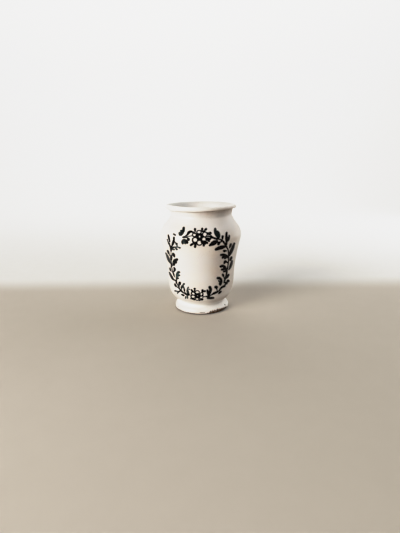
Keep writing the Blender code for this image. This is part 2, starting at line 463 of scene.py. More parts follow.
def chip_edge(phi):
    """Height at which the glaze stops on the foot, round the pot."""
    z = 1.25 + 0.14 * lumps(phi, 3.0, 4.1) + 0.09 * lumps(phi, 14.0, 7.7)
    d = np.degrees((phi + math.pi) % (2 * math.pi) - math.pi)
    # one run of flaked glaze at the front right, made of shell-shaped bites
    for mid, half, top in ((12.0, 3.4, 2.1), (17.6, 3.6, 3.8), (22.6, 3.8, 4.0), (28.0, 4.2, 4.2), (34.5, 4.8, 4.6), (41.0, 4.8, 4.0),
                           (47.0, 5.2, 4.2), (53.5, 5.0, 3.8), (59.5, 4.6, 3.6), (65.5, 4.4, 2.9), (70.0, 2.6, 1.9),
                           (-121.0, 4.5, 2.3), (-127.0, 3.2, 1.8), (148.0, 3.6, 2.1)):
        u = np.clip(1 - ((d - mid) / half) ** 2, 0, None)
        z = np.maximum(z, 0.5 + (top - 0.5) * np.sqrt(u))
    rag = 0.30 * lumps(phi, 30.0, 1.3) + 0.16 * lumps(phi, 70.0, 2.9)
    return np.clip(z + rag * smooth(z, 1.6, 2.2), 0.6, 5.0)


EDGE_Z = chip_edge(PHI)
EDGE_S = s_at_z(EDGE_Z)
S_FOOT = float(s_at_z(6.4))            # above this the rows are level


def skin_rows():
    """Rows along the glaze: lengths s down to the foot, then shares of the way to its broken edge."""
    fixed = [0.0, 1.6, 3.4]
    s = 5.5
    while s < S_FOOT - 0.2:
        fixed.append(s)
        near_lip = abs(s - S_CREST) < 7.5
        z = float(at_s(s)[1])
        near_waist = s > S_CREST and z < 16.0
        s += 0.34 if near_lip else 0.55 if near_waist else 0.95 if s > S_CREST else 1.65
    return np.array(fixed), np.linspace(0.0, 1.0, 26)


ROW_S, ROW_T = skin_rows()
GRID_S = np.vstack([np.repeat(ROW_S[1:, None], NCOL, 1),
                    S_FOOT + ROW_T[:, None] * (EDGE_S - S_FOOT)[None, :]])
GRID_PHI = np.repeat(PHI[None, :], len(GRID_S), 0)


def pits(phi, s):
    """(depth, bare) of the small breaks in the glaze of the foot."""
    r, z, _, _ = at_s(s)
    depth = np.zeros_like(s)
    bare = np.zeros_like(s)
    d = np.degrees((phi + math.pi) % (2 * math.pi) - math.pi)
    for d0, z0, wide, high, dip in ((62.0, 5.25, 0.85, 0.75, 0.30), (0.8, 2.9, 3.0, 0.30, 0.25), (-2.6, 2.7, 1.6, 0.22, 0.18),
                                    (-64.0, 3.6, 0.5, 0.4, 0.2), (166.0, 4.6, 0.9, 0.6, 0.28)):
        q = ((np.radians(d - d0) * r) / wide) ** 2 + ((z - z0) / high) ** 2
        m = 1 - smooth(q, 0.55, 1.25)
        m = m * (s > S_CREST)
        depth = np.maximum(depth, dip * m)
        bare = np.maximum(bare, m)
    return depth, bare


def grid_faces(rows, cols, first, flip=False):
    """Quads over rows x cols vertices that start at index first, closed round the axis."""
    i = np.arange(rows - 1)[:, None] * cols
    j = np.arange(cols)[None, :]
    k = (j + 1) % cols
    q = np.stack([first + i + j, first + i + k, first + i + cols + k, first + i + cols + j], -1).reshape(-1, 4)
    return q[:, ::-1] if flip else q


def build_glaze():
    rows, cols = GRID_S.shape
    depth, bare = pits(GRID_PHI, GRID_S)
    # the coat swells a little before its broken edge
    to_edge = (EDGE_S[None, :] - GRID_S)
    swell = 0.05 * np.exp(-((to_edge - 0.6) / 0.5) ** 2)
    front = surface(GRID_PHI, GRID_S, -depth + swell * (GRID_S > S_FOOT))
    # the coat's last step rounds in towards the clay
    front[-1] = surface(GRID_PHI[-1], GRID_S[-1], -0.20)
    back_rows = np.unique(np.concatenate([np.arange(0, rows - 26, 3), np.arange(rows - 26, rows, 4), [rows - 1]]))
    back = surface(GRID_PHI[back_rows], GRID_S[back_rows], -GLAZE)
    nb = len(back_rows)
    verts = [front.reshape(-1, 3), back.reshape(-1, 3),
             np.array([[0.0, 0.0, FLOOR_Z]]), np.array([[0.0, 0.0, FLOOR_Z - GLAZE]])]
    first_back = rows * cols
    top_pole, low_pole = first_back + nb * cols, first_back + nb * cols + 1
    faces = [list(f) for f in grid_faces(rows, cols, 0, flip=True)]
    faces += [list(f) for f in grid_faces(nb, cols, first_back)]
    a, b = (rows - 1) * cols, first_back + (nb - 1) * cols
    for j in range(cols):
        k = (j + 1) % cols
        faces.append([a + k, a + j, b + j, b + k])
        faces.append([top_pole, j, k])
        faces.append([low_pole, first_back + k, first_back + j])
    verts = np.vstack(verts)
    ob = mesh_object("glaze", verts, faces, MAT_GLAZE, 60.0)
    # what the material reads: where the coat is thin, pooled, stained or broken, and where light and shade are painted
    # in
    r, z, nr, nz = at_s(GRID_S)
    lip = np.exp(-((GRID_S - S_CREST) / 1.5) ** 2)
    outside = GRID_S > S_CREST
    n1 = np.repeat(lumps(PHI, 4.0, 2.2)[None, :], rows, 0)
    n2 = np.repeat(lumps(PHI, 9.0, 5.4)[None, :], rows, 0)
    thin = np.clip(lip * (0.02 + 0.12 * n1), 0, 1)
    edge = np.exp(-(to_edge / 0.9) ** 2) * outside
    thin = np.maximum(thin, np.clip(edge * (0.65 + 0.3 * n2), 0, 1))
    rim = np.exp(-((z - 2.6) / 0.8) ** 2) * outside * (z < 6)
    thin = np.maximum(thin, np.clip(rim * (0.10 + 0.2 * n1), 0, 1))
    # the paler glaze is partly painted light: on the foot it is the whiter coat, made stronger on the right as painted
    # light; on the lip crest, high inside the mouth and round the waist at the left it is painted light only
    pale = outside * (1 - smooth(z, 6.8, 8.6)) * smooth(np.sin(GRID_PHI), -0.2, 0.3)
    side = np.sin(GRID_PHI)
    pale = np.maximum(pale, 0.85 * np.exp(-((GRID_S - S_CREST) / 4.0) ** 2) * (1 - 0.8 * smooth(side, 0.45, 0.85)))
    pale = np.maximum(pale, 0.95 * (~outside) * smooth(z, 84, 98) * smooth(side, -0.35, 0.05) * (1 - 0.9 * smooth(side, 0.45, 0.85)))
    pale = np.maximum(pale, 0.9 * outside * smooth(z, 5.5, 7.5) * (1 - smooth(z, 11.5, 17)) * (1 - smooth(np.sin(GRID_PHI), 0.0, 0.4)))
    # pooled glaze in the waist, neck and foot, plus painted shade: heavier at the waist on the right, down the right
    # edge of the body, inside the mouth at both sides, on the foot at the left and in the crease under the lip at the
    # left
    pool_and_shade = outside * (np.exp(-((z - 9.4) / 1.6) ** 2) * (0.08 + 0.42 * smooth(np.sin(GRID_PHI), 0.05, 0.5)) + 0.12 * (1 - smooth(z, 4.0, 7.5)) * (0.7 + 0.4 * n2)
                      + 0.5 * np.exp(-((z - 101.5) / 2.6) ** 2)
                      + 0.7 * smooth(np.sin(GRID_PHI), 0.70, 0.97) * smooth(z, 22, 40) * (1 - smooth(z, 52, 84)))
    pool_and_shade = pool_and_shade + 0.8 * (~outside) * smooth(z, 90, 103) * np.maximum(smooth(side, 0.4, 0.85), 1 - smooth(side, -0.6, -0.3))
    pool_and_shade = pool_and_shade + 0.7 * outside * (1 - smooth(z, 5.5, 8.0)) * (1 - smooth(side, -0.5, 0.0))
    pool_and_shade = pool_and_shade + 0.9 * outside * np.exp(-((z - 105.3) / 0.9) ** 2) * (1 - smooth(side, -0.25, 0.2))
    stain = (~outside) * (smooth(z, 60.0, 16.0) * 0.6 + 0.35 * np.exp(-((z - 52 - 2.5 * n1) / 1.2) ** 2)
                          + 0.25 * smooth(z, 20.0, 14.5))
    deg = np.degrees((GRID_PHI + math.pi) % (2 * math.pi) - math.pi)
    round_back = 1 - smooth(deg, 95, 172)
    right = smooth(deg, -25, 22) * (1 - 0.6 * smooth(deg, 62, 95)) * round_back
    far_right = smooth(deg, 14, 45) * round_back
    # painted shade: the crease, neck and waist masks and the right-side masks below darken the glaze where shade falls,
    # most on the right; a faint line under the lip goes all round
    crease = (np.exp(-((z - 105.15 - 0.45 * far_right) / (0.7 + 0.3 * far_right)) ** 2)
              * (0.05 + 0.04 * n2 + 0.56 * smooth(deg, -42, 6) * round_back + 0.15 * far_right))
    neck = np.exp(-np.clip(105.0 - z, 0, None) / 3.4) * (z < 105.6) * (0.08 + 0.66 * right)
    low_right = smooth(deg, 2, 30) * (1 - 0.35 * smooth(deg, 66, 95)) * round_back
    waist = (0.07 * smooth(deg, -10, 25) * round_back * np.exp(-((z - 9.2) / 0.7) ** 2)
             + np.exp(-((z - 14.2) / 3.8) ** 2) * smooth(z, 9.4, 12.5) * (0.02 + 0.46 * low_right + 0.42 * smooth(deg, 30, 58) * round_back))
    right_side_shade = 0.25 * np.exp(-((deg - 28) / 17.0) ** 2) * smooth(z, 16, 30) * (1 - smooth(z, 64, 82))
    right_side_shade = np.maximum(right_side_shade, 0.34 * smooth(deg, 42, 84) * round_back * smooth(z, 8, 30) * (1 - smooth(z, 40, 84)))
    right_side_shade = np.maximum(right_side_shade, 0.16 * smooth(deg, 20, 44) * (1 - smooth(deg, 66, 104)) * smooth(z, 104.4, 105.6))
    grime_and_shade = outside * (1 - smooth(z, 106.6, 108.4)) * np.maximum(np.maximum(np.maximum(crease, neck), waist), right_side_shade)
    pad = nb * cols
    for name, val in (("pale", np.clip(pale, 0, 1)), ("grime_and_shade", np.clip(grime_and_shade, 0, 1)), ("thin", thin), ("pool_and_shade", np.clip(pool_and_shade, 0, 1)), ("stain", np.clip(stain, 0, 1)), ("bare", bare)):
        tail = [val[0].mean(), 0.0] if name == "stain" else [0.0, 0.0]
        point_attribute(ob, name, np.concatenate([val.ravel(), np.zeros(pad), tail]))
    return ob


glaze = build_glaze()
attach(glaze, "root")
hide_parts("glaze_coat")


def turned_solid(name, rings, mat, phi=None, poles=(None, None), angle=50.0):
    """A turned solid from rings of (cols, 3) points, top to bottom on its outer side; poles close it on the axis."""
    rings = [np.asarray(g, float) for g in rings]
    cols = rings[0].shape[0]
    verts = np.vstack(rings + [np.array([p]) for p in poles if p is not None])
    faces = [list(f) for f in grid_faces(len(rings), cols, 0, flip=True)]
    n = len(rings) * cols
    if poles[0] is not None:
        faces += [[n, j, (j + 1) % cols] for j in range(cols)]
        n += 1
    if poles[1] is not None:
        b = (len(rings) - 1) * cols
        faces += [[n, b + (j + 1) % cols, b + j] for j in range(cols)]
    if poles[0] is None and poles[1] is None:      # a ring: join the last row to the first
        b = (len(rings) - 1) * cols
        faces += [[j, b + j, b + (j + 1) % cols, (j + 1) % cols][::-1] for j in range(cols)]
    return mesh_object(name, verts, faces, mat, angle)


def ring(phi, r, z):
    r, z = np.broadcast_to(r, phi.shape), np.broadcast_to(z, phi.shape)
    return np.stack([r * np.sin(phi), -r * np.cos(phi), z], -1)


# ---------------------------------------------------------------- clay under the glaze
JOINT_Z, LUTE_T = 8.2, 0.8
BACK = -GLAZE - 0.02                       # clay starts just behind the glaze
PHI_C = np.linspace(0, 2 * math.pi, 128, endpoint=False)
s_rows = np.concatenate([np.arange(6.0, S_CREST - 3.0, 2.2), np.arange(S_CREST - 3.0, S_CREST + 3.0, 0.6),
                         np.arange(S_CREST + 3.0, float(s_at_z(9.6)), 2.2), [float(s_at_z(9.0))]])
jar_rings = [surface(PHI_C, np.full(len(PHI_C), s), BACK) for s in s_rows]
jar_rings.append(ring(PHI_C, WAIST_R - GLAZE - 0.8, JOINT_Z + 0.5 * LUTE_T + 0.02))
jar_clay = turned_solid("jar_clay", jar_rings, MAT_BISCUIT,
                        poles=((0, 0, FLOOR_Z - GLAZE - 0.02), (0, 0, JOINT_Z + 0.5 * LUTE_T + 0.02)))
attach(jar_clay, "root")
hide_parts("jar_body")

lute_r = WAIST_R - GLAZE - 0.35
lute_phi = np.linspace(0, 2 * math.pi, 128, endpoint=False)
lump = 0.12 * lumps(lute_phi, 9.0, 3.3)
slip = turned_solid("slip_seam", [
    ring(lute_phi, 9.0 + 6 * lump, JOINT_Z + 0.5 * LUTE_T),
    ring(lute_phi, lute_r - 0.4, JOINT_Z + 0.5 * LUTE_T),
    ring(lute_phi, lute_r + lump, JOINT_Z + 0.2),
    ring(lute_phi, lute_r + lump, JOINT_Z - 0.2),
    ring(lute_phi, lute_r - 0.4, JOINT_Z - 0.5 * LUTE_T),
    ring(lute_phi, 9.0 + 6 * lump, JOINT_Z - 0.5 * LUTE_T),
], MAT_SLIP)
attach(slip, "root")
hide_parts("lute_ring")


def build_foot():
    """The foot's clay: flaked where the glaze is gone, trimmed underneath, worn flat on its standing ring."""
    cols = NCOL
    edge_drop = s_at_z(0.4)
    top_s = float(s_at_z(7.4))
    rows_s = np.linspace(top_s, float(s_at_z(GLAZE_END_Z)), 30)
    rings, dirt_and_shade = [], []
    top_z = JOINT_Z - 0.5 * LUTE_T - 0.02
    rings.append(ring(PHI, 6.0, top_z)); dirt_and_shade.append(np.zeros(cols))
    rings.append(ring(PHI, WAIST_R - GLAZE - 0.9, top_z)); dirt_and_shade.append(np.zeros(cols))
    exposed_any = smooth(EDGE_Z, 1.6, 2.3)
    for s in rows_s:
        z = float(at_s(s)[1])
        open_ = smooth(EDGE_Z - z, -0.15, 0.35)          # no glaze over this height here
        nz = np.array([noise.fractal(Vector((math.sin(p) * 9.0, math.cos(p) * 9.0, z * 0.55)), 1.0, 2.1, 4) for p in PHI])
        bite = open_ * exposed_any * (0.16 + 0.30 * np.clip(nz + 0.45, 0, 1.2))
        rings.append(surface(PHI, np.full(cols, s), BACK - bite))
        # darker where the clay is bare: dirt, with painted shadow; the last term paints contact shadow along the bottom
        # 1.3 mm
        grime_and_shade = np.clip(open_ * (0.55 + 0.45 * exposed_any) * (0.9 + 0.5 * nz) + 0.5 * smooth(z, 1.3, 0.7), 0, 1)
        for d0, z0, wide, high in ((37.5, 2.1, 2.6, 0.55), (22.5, 3.5, 1.5, 0.45), (29.0, 1.4, 1.8, 0.4), (51.0, 2.2, 1.6, 0.45)):
            q = ((np.degrees(PHI) - d0) / wide) ** 2 + ((z - z0) / high) ** 2
            grime_and_shade = grime_and_shade * (1 - 0.55 * np.exp(-q))     # a fresher flake
        dirt_and_shade.append(grime_and_shade)
    wear = 0.10 * lumps(PHI, 5.0, 6.1) + 0.05 * lumps(PHI, 22.0, 8.2)
    bite = exposed_any * 0.25
    # the last number of each ring darkens the clay: painted contact shadow on the outer edge of the standing ring, dirt
    # further in
    for r, z, d in ((RING_OUT_R + 0.05, 0.45, 2.2), (RING_OUT_R - 0.25, 0.12, 2.0), (RING_OUT_R - 0.9, 0.0, 0.6),
                    (25.2, 0.0, 0.0), (23.6, 0.0, 0.0), (22.0, 0.0, 0.0), (RING_IN_R + 0.4, 0.0, 0.1), (RING_IN_R - 0.1, 0.18, 0.3),
                    (RING_IN_R - 0.8, 0.75, 0.4), (RING_IN_R - 1.6, 1.9, 0.4), (RING_IN_R - 2.7, 2.9, 0.3), (RING_IN_R - 4.4, 3.35, 0.1),
                    (14.0, 3.55, 0.0), (11.6, 3.42, 0.0), (10.6, 3.70, 0.0), (8.2, 3.55, 0.0), (7.2, 3.85, 0.0),
                    (4.6, 3.70, 0.0), (3.2, 3.95, 0.0), (1.4, 3.85, 0.0)):
        rr = r + wear * (1.0 if z < 0.5 and r > 26 else 0.5 if r > 18 else 0.3) - bite * (1.0 if r > 26 else 0.0)
        zz = z + (0.06 * lumps(PHI, 6.0, r * 0.7) if z > 0.5 else 0.0)
        rings.append(ring(PHI, rr, zz))
        dirt_and_shade.append(np.clip(d * (0.55 + 0.5 * lumps(PHI, 7.0, 1.0 + r * 0.05)) * (0.7 + 0.3 * exposed_any if r > 26 else 0.6), 0, 1))
    ob = turned_solid("foot_clay", rings, MAT_FOOT, poles=((0, 0, top_z), (0, 0, 3.9)), angle=55.0)
    point_attribute(ob, "dirt_and_shade", np.concatenate([np.concatenate(dirt_and_shade), [0.0, 0.0]]))
    return ob


foot = build_foot()
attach(foot, "root")
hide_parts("foot")

# =====================================================================================
# The printed wreath: a flower at the top and the bottom, leafy sprigs up both sides.
# Marks are laid out in the picture's frame, carried to the wall along the camera's rays,
# cut from one flat sheet and wrapped on the glaze as a thin film.
# =====================================================================================
_M = np.array(cam.matrix_world.to_3x3())


def to_picture(p):
    """Picture coordinates of points in millimetres."""
    q = (np.asarray(p, float) - CAM_AT) @ _M
    return np.stack([IMG_W / 2 - F_PX * q[..., 0] / q[..., 2], IMG_H / 2 + F_PX * q[..., 1] / q[..., 2]], -1)


def on_wall(xy):
    """(phi, s) on the outside for picture points; a point just off the outline takes the outline's place."""
    xy = np.atleast_2d(np.asarray(xy, float))
    t = np.arange(335.0, 435.0, 0.2)
    ray = np.stack([(xy[:, 0] - IMG_W / 2) / F_PX, -(xy[:, 1] - IMG_H / 2) / F_PX, -np.ones(len(xy))], 1) @ _M.T

    def gap_at(p):
        phi = np.arctan2(p[..., 0], -p[..., 1])
        z = np.clip(p[..., 2], 6.0, 96.0)
        s = s_at_z(z)
        return np.hypot(p[..., 0], p[..., 1]) - at_s(s)[0] - lean(phi, z), phi, s

    gap, _, _ = gap_at(CAM_AT + t[None, :, None] * ray[:, None, :])
    hit = gap <= 0
    first = np.where(hit.any(1), hit.argmax(1), gap.argmin(1))
    hi = t[first]
    lo = hi - 0.2
    for _ in range(8):                    # close in on the crossing
        mid = 0.5 * (lo + hi)
        g, _, _ = gap_at(CAM_AT + mid[:, None] * ray)
        hi, lo = np.where(g <= 0, mid, hi), np.where(g <= 0, lo, mid)
    _, phi, s = gap_at(CAM_AT + hi[:, None] * ray)
    return np.stack([phi, s], 1)


def unproject(phi, s):
    """2x2 that takes a small step in the picture to (across, down) millimetres on the wall."""
    r = float(at_s(s)[0])
    h = 0.4
    across = (to_picture(surface(phi + h / r, s)) - to_picture(surface(phi - h / r, s))) / (2 * h)
    down = (to_picture(surface(phi, s + h)) - to_picture(surface(phi, s - h))) / (2 * h)
    u, d, vt = np.linalg.svd(np.stack([across, down], 1))
    d = np.maximum(d, 0.30)               # don't stretch marks that are seen edge on
    return vt.T @ np.diag(1 / d) @ u.T


CHART_R = 36.0


def smooth_line(pts, step):
    """A curve through the points, evenly stepped."""
    p = np.asarray(pts, float)
    if len(p) == 2:
        c = p[0] + (p[1] - p[0]) * np.linspace(0, 1, 12)[:, None]
    else:
        c = spline(p, 12)
    length = np.concatenate([[0], np.cumsum(np.hypot(*np.diff(c, axis=0).T))])
    n = max(int(round(length[-1] / step)), 3)
    u = np.linspace(0, length[-1], n + 1)
    return np.stack([np.interp(u, length, c[:, a]) for a in (0, 1)], 1), u / length[-1]


class Mark:
    def __init__(self, outline, ink, teal, thin):
        self.o, self.ink, self.teal, self.thin = outline, ink, teal, thin


MARKS = []
SPREAD = 0.54                               # the ink spread a little as it fired


def carry(centres, offsets):
    """Picture offsets about picture centres, to chart coordinates (across, up) on the wall."""
    centres = np.asarray(centres, float)
    places, which = np.unique(centres, axis=0, return_inverse=True)
    which = which.ravel()
    ps = on_wall(places)
    turn = [unproject(phi, s) for phi, s in ps]
    out = []
    for k, off in zip(which, offsets):
        phi, s = ps[k]
        mm = turn[k] @ off
        out.append((CHART_R * (phi + mm[0] / float(at_s(s)[0])), -(s + mm[1])))
    return np.array(out)


def rough(o, amount=0.075):
    """The slightly ragged edge of a print."""
    d = [(noise.noise(Vector((x * 1.1, y * 1.1, 3.0))), noise.noise(Vector((x * 1.1, y * 1.1, 9.0)))) for x, y in o]
    return o + amount * np.array(d)


def stroke(pts, widths, teal=0.0, thin=0.0, ink=True):
    """A brush-like mark along a line, as wide as the list says from end to end, with round ends."""
    c, t = smooth_line(pts, 0.33)
    w = np.asarray(widths, float)
    if len(w) == 1:
        w = np.repeat(w, 2)
    wt = np.interp(t, np.linspace(0, 1, len(w)), w)
    k = np.array([1, 2, 3, 2, 1]) / 9.0
    wt = np.convolve(np.pad(wt, 2, mode="edge"), k, mode="valid")
    wt = wt + SPREAD if ink else 0.42 * wt
    tan = np.gradient(c, axis=0)
    tan /= np.linalg.norm(tan, axis=1)[:, None]
    nor = np.stack([tan[:, 1], -tan[:, 0]], 1)
    cen, off = [], []
    for i in range(len(c)):
        cen.append(c[i]); off.append(nor[i] * wt[i] / 2)
    for a in np.linspace(0, math.pi, 7)[1:-1]:
        cen.append(c[-1]); off.append((nor[-1] * math.cos(a) + tan[-1] * math.sin(a)) * wt[-1] / 2)
    for i in range(len(c) - 1, -1, -1):
        cen.append(c[i]); off.append(-nor[i] * wt[i] / 2)
    for a in np.linspace(0, math.pi, 7)[1:-1]:
        cen.append(c[0]); off.append((-nor[0] * math.cos(a) - tan[0] * math.sin(a)) * wt[0] / 2)
    MARKS.append(Mark(rough(carry(cen, off)), ink, teal, thin))


def blot(x, y, rx, ry=None, tilt=0.0, teal=0.0, thin=0.0, ink=True):
    """A round or oval mark."""
    ry = rx if ry is None else ry
    if ink:
        rx, ry = rx + 0.5 * SPREAD, ry + 0.5 * SPREAD
    n = max(int(2 * math.pi * max(rx, ry) / 0.33), 12)
    a = np.linspace(0, 2 * math.pi, n, endpoint=False)
    e = np.stack([rx * np.cos(a), ry * np.sin(a)], 1)
    c, s = math.cos(math.radians(tilt)), math.sin(math.radians(tilt))
    e = e @ np.array([[c, s], [-s, c]])
    MARKS.append(Mark(rough(carry(np.repeat([[x, y]], n, 0), e)), ink, teal, thin))


def petals(rows, ring):
    """Petals left white inside a black outline."""
    for x, y, rx, ry, tilt in rows:
        blot(x, y, rx + ring, ry + ring, tilt)
    for x, y, rx, ry, tilt in rows:
        blot(x, y, rx, ry, tilt, ink=False)


# ---------------------------------------------------------------- top flower
blot(199.6, 236.8, 3.9, 3.8)
petals([(194.4, 234.9, 1.20, 1.25, 0), (195.1, 240.0, 1.80, 1.80, 0), (199.4, 242.75, 1.85, 1.78, 0),
        (204.1, 239.3, 1.80, 1.50, 0), (204.9, 234.6, 1.65, 1.75, 0)], 1.15)
petals([(199.0, 232.2, 1.60, 1.10, 0)], 0.95)
blot(199.6, 236.8, 0.65, 0.95, ink=False)
stroke([(195.0, 231.4), (195.0, 230.2), (195.0, 229.2)], [1.0, 1.9, 2.0])
stroke([(201.8, 231.4), (202.1, 229.9), (202.2, 228.8)], [1.4, 1.8, 1.9])
stroke([(192.6, 238.6), (192.3, 240.2), (192.7, 241.8)], [0.7, 0.8, 0.7])
stroke([(192.5, 234.6), (192.6, 236.2)], [0.5, 0.7])
stroke([(203.4, 231.8), (204.4, 231.0), (205.3, 229.9), (206.1, 229.1)], [1.6, 1.2, 1.8, 2.0])
stroke([(207.4, 233.0), (208.8, 233.5), (210.2, 233.3)], [0.8, 2.2, 2.7])
stroke([(207.3, 236.4), (209.2, 236.6), (212.6, 237.6)], [2.6, 3.8, 1.8])
stroke([(206.6, 235.6), (208.4, 235.4), (210.2, 235.8)], [0.4, 0.9, 0.4], ink=False)
stroke([(206.2, 237.4), (208.2, 237.3), (210.6, 237.7)], [0.5, 1.2, 0.5], ink=False)
stroke([(206.4, 238.9), (208.0, 239.9), (209.0, 241.0)], [1.8, 2.9, 1.7])
stroke([(207.6, 239.0), (210.2, 239.1)], [1.7, 1.6])
stroke([(201.8, 241.9), (204.4, 242.0), (207.2, 242.9)], [2.0, 2.8, 1.8])
stroke([(202.6, 243.2), (205.0, 243.2)], [1.9, 2.5])
stroke([(204.2, 242.8), (203.9, 244.2), (203.7, 245.3)], [1.6, 1.9, 2.0])
stroke([(183.6, 237.2), (186.0, 236.0), (187.7, 234.3), (189.0, 232.5), (191.0, 231.8), (193.2, 232.5), (194.6, 233.6)],
       [1.2, 1.2, 1.5, 2.5, 2.0, 1.3, 1.0])
stroke([(183.2, 237.4), (185.2, 237.5), (187.0, 237.7)], [1.7, 1.7, 1.1])
stroke([(186.6, 236.8), (189.4, 236.4), (192.0, 236.0)], [0.6, 0.7, 0.8], thin=0.78)
blot(188.3, 239.4, 1.35, 1.50, -10)
stroke([(187.2, 237.8), (188.0, 238.6)], [1.0, 1.2])
stroke([(186.6, 240.8), (184.6, 240.1), (182.8, 240.6), (182.3, 242.4), (182.8, 243.6)], [1.6, 2.0, 2.0, 1.7, 1.2], teal=0.15)
stroke([(185.3, 241.0), (185.5, 242.4), (185.4, 243.4)], [1.3, 1.5, 1.2], teal=0.2)
blot(184.0, 242.4, 0.90, 1.10, teal=0.75, thin=0.15)
blot(187.1, 242.4, 1.10, 1.25)
stroke([(185.6, 241.2), (187.4, 241.2)], [1.2, 1.2], thin=0.2)
stroke([(194.0, 243.0), (192.4, 244.0), (190.9, 244.9)], [1.8, 1.8, 2.0])
stroke([(195.3, 243.4), (195.3, 245.2), (195.0, 246.7)], [2.4, 1.9, 2.0])
# leaf standing off to its left
stroke([(181.4, 234.8), (182.7, 232.4), (183.5, 229.8), (183.7, 228.0)], [2.0, 2.5, 2.5, 2.1], teal=0.12)
blot(181.3, 231.3, 1.12, 1.15, teal=0.5)
blot(179.9, 233.5, 1.30, 1.10, 20, teal=0.5)
blot(180.4, 234.8, 1.60, 1.25, teal=0.3)
stroke([(181.0, 232.2), (181.6, 233.6)], [1.4, 1.4], teal=0.5)

# ---------------------------------------------------------------- right side
stroke([(210.8, 236.8), (213.6, 238.0), (216.6, 238.9), (219.4, 239.3), (222.2, 240.6), (224.3, 242.8), (225.6, 245.0)],
       [1.7, 1.6, 1.6, 1.0, 1.2, 1.6, 1.8])
stroke([(225.6, 245.0), (226.9, 247.4), (228.2, 250.2), (228.5, 253.5), (228.6, 258.0), (228.4, 262.0), (227.9, 266.0),
        (227.1, 270.0), (226.6, 273.0), (226.0, 276.0)], [1.6, 1.1, 0.9, 0.8, 0.7, 0.8, 0.7, 1.1, 1.3, 1.0])
stroke([(215.2, 228.9), (215.5, 231.4), (216.7, 234.4), (218.1, 237.8)], [1.8, 3.2, 3.5, 1.4], teal=0.15)
stroke([(217.5, 231.7), (218.5, 233.2), (218.9, 235.4), (218.9, 237.2)], [1.8, 2.3, 2.5, 1.9], teal=0.15)
stroke([(217.0, 231.6), (217.8, 233.6), (218.6, 235.8)], [0.3, 0.5, 0.3], teal=0.6, thin=0.8)
stroke([(222.2, 239.8), (222.4, 238.2), (222.7, 236.5)], [0.6, 1.5, 2.1])
stroke([(226.4, 244.6), (226.6, 241.6), (226.3, 238.0), (226.5, 234.6), (226.7, 232.8)], [1.1, 1.7, 2.0, 1.9, 1.7])
stroke([(227.2, 241.4), (228.7, 239.4), (229.3, 236.6), (229.2, 235.4)], [1.2, 1.5, 1.2, 0.9])
stroke([(227.8, 239.8), (228.0, 237.2)], [1.2, 1.2], thin=0.3)
stroke([(217.0, 241.3), (214.6, 242.5), (212.0, 244.0), (209.8, 245.2)], [2.3, 4.3, 3.6, 1.7])
stroke([(222.0, 241.2), (220.6, 241.9), (219.1, 242.8), (218.4, 244.0)], [0.5, 1.1, 2.2, 2.3])
stroke([(225.2, 246.4), (222.2, 247.1), (219.0, 248.0), (216.0, 249.4)], [1.7, 3.5, 3.6, 2.2])
stroke([(229.6, 247.6), (230.3, 246.0), (231.0, 244.2)], [0.9, 2.1, 1.7])
stroke([(229.3, 255.4), (231.0, 252.0), (232.5, 248.6), (233.6, 245.6), (234.4, 243.4)], [1.3, 2.7, 2.8, 2.3, 1.4])
stroke([(226.6, 250.8), (225.4, 250.8), (224.3, 250.9)], [0.6, 1.7, 2.5])
stroke([(228.4, 257.6), (226.2, 255.9), (223.6, 254.7), (221.0, 254.9)], [1.7, 2.6, 2.2, 1.9])
stroke([(226.6, 256.4), (225.4, 257.6), (224.8, 258.4)], [2.2, 2.2, 1.4])
stroke([(225.0, 255.8), (223.2, 256.9), (222.5, 257.8)], [2.2, 2.2, 1.5])
stroke([(230.3, 260.2), (231.0, 258.8), (231.6, 257.3)], [1.4, 2.2, 1.6])
stroke([(229.0, 269.6), (230.3, 267.0), (231.4, 264.0), (232.2, 261.0)], [0.8, 1.9, 2.3, 1.3])
blot(225.4, 261.5, 1.30, 1.15, -15)
stroke([(224.8, 262.0), (224.3, 263.2)], [1.9, 1.4])
stroke([(226.2, 261.6), (227.9, 262.9)], [1.2, 1.2])
stroke([(226.4, 271.8), (225.4, 269.4), (224.5, 267.1), (222.6, 265.9), (220.7, 266.5)], [1.5, 2.5, 2.7, 2.4, 2.0])
stroke([(225.0, 269.0), (223.4, 269.3), (221.9, 269.5)], [2.1, 2.2, 1.9])
stroke([(225.2, 270.8), (223.8, 271.5)], [2.0, 1.6])
stroke([(226.3, 274.6), (225.6, 277.2), (224.7, 280.0), (224.0, 282.6)], [1.0, 1.3, 1.4, 1.0], teal=0.2)
blot(223.0, 275.1, 1.05, 1.50, -8)
stroke([(223.6, 276.4), (224.4, 278.8)], [0.7, 0.6], thin=0.2)
stroke([(226.0, 278.2), (227.4, 276.8), (228.6, 274.8)], [1.1, 1.8, 1.7])
blot(226.3, 283.0, 1.45, 1.25, -35)
blot(228.2, 280.9, 1.40, 1.20)
stroke([(224.8, 285.0), (226.0, 283.6), (227.6, 281.6)], [1.2, 1.0, 0.8])
blot(224.5, 285.8, 0.95, 1.05)
stroke([(224.4, 286.2), (222.2, 287.0), (220.4, 288.7), (218.8, 290.8), (217.0, 291.9), (214.6, 293.0), (212.0, 294.4)],
       [1.7, 1.7, 1.3, 0.7, 1.7, 2.0, 0.9])
stroke([(220.2, 284.6), (221.3, 282.4), (221.0, 279.8), (219.6, 278.3), (217.8, 278.1)], [1.9, 1.7, 2.0, 2.3, 2.2])
stroke([(220.4, 283.6), (219.6, 282.0), (218.8, 280.8)], [1.2, 1.0, 1.2], thin=0.1)
blot(220.0, 283.8, 1.10, 1.00)
blot(216.1, 287.1, 1.70, 1.40)
stroke([(216.5, 288.2), (217.2, 290.6)], [1.2, 0.4])
stroke([(218.9, 293.3), (219.8, 292.4), (220.9, 291.4)], [1.2, 1.6, 1.2])
stroke([(208.4, 295.8), (209.6, 292.6), (210.6, 289.6), (209.8, 287.2)], [2.0, 2.5, 2.5, 2.5])
